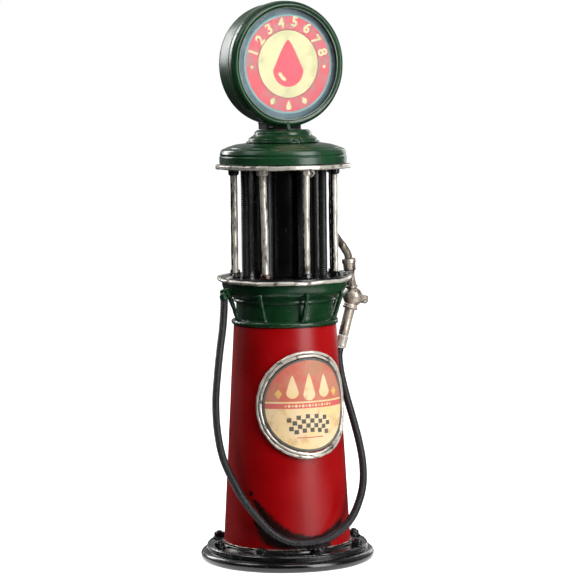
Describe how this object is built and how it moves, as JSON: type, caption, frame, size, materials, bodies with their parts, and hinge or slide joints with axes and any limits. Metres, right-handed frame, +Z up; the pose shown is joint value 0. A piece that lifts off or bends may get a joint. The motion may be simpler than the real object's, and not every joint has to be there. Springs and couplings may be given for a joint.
{
  "type": "gas pump model",
  "caption": "Desk-top metal model of a vintage visible gas pump: stepped base, tapered skirt, caged tank, round sign globe, and a nozzle on a hose that lifts off its holder.",
  "frame": {"origin": "centre of the base's underside", "axes": "+Z up, the badge and the sign face -Y, the nozzle hangs on the +X side"},
  "size_m": [0.1255, 0.119, 0.38],
  "materials": {
    "green_paint": "dark green enamel, semi-gloss, worn on the edges",
    "red_paint": "dark red enamel, satin",
    "black_paint": "black enamel, semi-gloss",
    "aged_nickel": "aged champagne nickel with dark stains",
    "ribbed_rubber": "black, finely ribbed",
    "printed_dial": "printed dial, slightly stained",
    "printed_badge": "printed badge, faded",
    "clear_lens": "clear, glossy"
  },
  "bodies": {
    "root": {"base_plate": "black_paint", "base_bolt_1": "black_paint", "base_bolt_2": "black_paint", "base_bolt_3": "black_paint", "base_bolt_4": "black_paint", "base_bolt_5": "black_paint", "base_bolt_6": "black_paint", "base_bolt_7": "black_paint", "base_bolt_8": "black_paint", "skirt": "red_paint", "badge_frame": "aged_nickel", "badge_plate": "printed_badge", "badge_lens": "clear_lens", "collar": "green_paint", "collar_ring": "green_paint", "collar_strut_1": "green_paint", "collar_strut_2": "green_paint", "collar_strut_3": "green_paint", "collar_strut_4": "green_paint", "collar_strut_5": "green_paint", "collar_strut_6": "green_paint", "collar_strut_7": "green_paint", "collar_strut_8": "green_paint", "platform": "black_paint", "platform_rim": "aged_nickel", "cage_rod_1": "aged_nickel", "cage_rod_2": "aged_nickel", "cage_rod_3": "aged_nickel", "cage_rod_4": "aged_nickel", "cage_rod_5": "aged_nickel", "cage_rod_6": "aged_nickel", "cage_rod_7": "aged_nickel", "cage_rod_8": "aged_nickel", "ribbed_post_1": "ribbed_rubber", "ribbed_post_2": "ribbed_rubber", "ribbed_post_3": "ribbed_rubber", "ribbed_post_4": "ribbed_rubber", "ribbed_post_5": "ribbed_rubber", "ribbed_post_6": "ribbed_rubber", "ribbed_post_7": "ribbed_rubber", "ribbed_post_8": "ribbed_rubber", "tank": "black_paint", "top_plate": "black_paint", "top_rim": "aged_nickel", "cap": "green_paint", "neck": "green_paint", "saddle": "black_paint", "globe_drum": "green_paint", "globe_bezel": "green_paint", "globe_dial": "printed_dial", "globe_lens": "clear_lens", "nozzle_holder": "black_paint", "hose_fitting": "green_paint", "hose": "ribbed_rubber"},
    "nozzle": {"nozzle_spout": "aged_nickel", "nozzle_neck": "aged_nickel", "valve_body": "aged_nickel", "nozzle_handle": "aged_nickel", "hose_ferrule": "aged_nickel"},
    "knob": {"valve_knob": "aged_nickel"}
  },
  "joints": [
    {"name": "nozzle_lift_off", "type": "slide", "parent": "root", "child": "nozzle", "axis": [0.9063, 0, 0.4226], "range_m": [0, 0.035]},
    {"name": "valve_turn", "type": "hinge", "parent": "nozzle", "child": "knob", "pos_m": [0.0544, 0.006, 0.1771], "axis": [0.9613, 0, -0.2756], "range_deg": [0, 90]}
  ]
}
